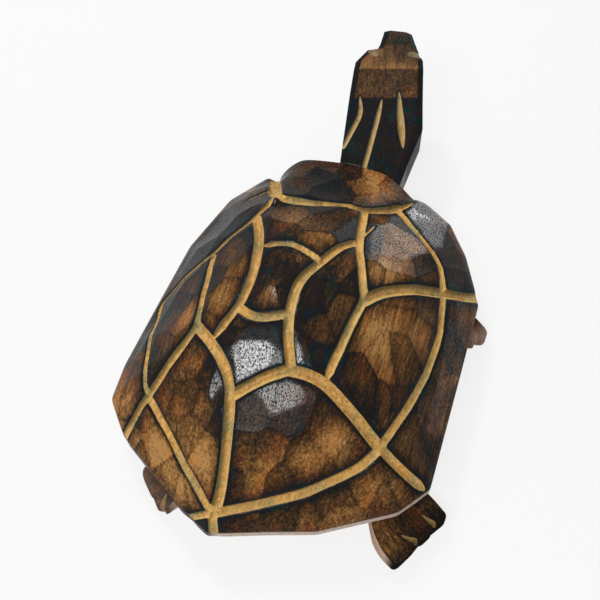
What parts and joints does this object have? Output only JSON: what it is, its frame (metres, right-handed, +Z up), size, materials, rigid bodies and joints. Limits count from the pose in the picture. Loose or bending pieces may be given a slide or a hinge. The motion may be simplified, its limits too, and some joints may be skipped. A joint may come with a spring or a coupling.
{
  "type": "turtle figurine",
  "caption": "Carved wooden turtle with a faceted domed shell, gouged scute lines, an outstretched neck and paddle feet, standing free on its soles.",
  "frame": {"origin": "on the floor, under the middle of the whole turtle's box", "axes": "+X where the head looks, +Y to the turtle's left, +Z up"},
  "size_m": [0.233, 0.1325, 0.067],
  "materials": {
    "shell_wood": "walnut-dark stain under gloss varnish, with bare golden gouge lines",
    "neck_wood": "near-black stain with a brown crown and bare tan slots, varnished",
    "leg_wood": "dark stained top with bare pinkish sawn sides",
    "board_wood": "bare sanded wood",
    "dowel_wood": "bare hardwood peg"
  },
  "bodies": {
    "root": {"shell": "shell_wood", "belly_board": "board_wood", "head_and_neck": "neck_wood", "front_left_leg": "leg_wood", "front_right_leg": "leg_wood", "rear_left_leg": "leg_wood", "rear_right_leg": "leg_wood", "leg_dowels": "dowel_wood", "neck_dowels": "dowel_wood", "board_dowels": "dowel_wood"}
  },
  "joints": []
}
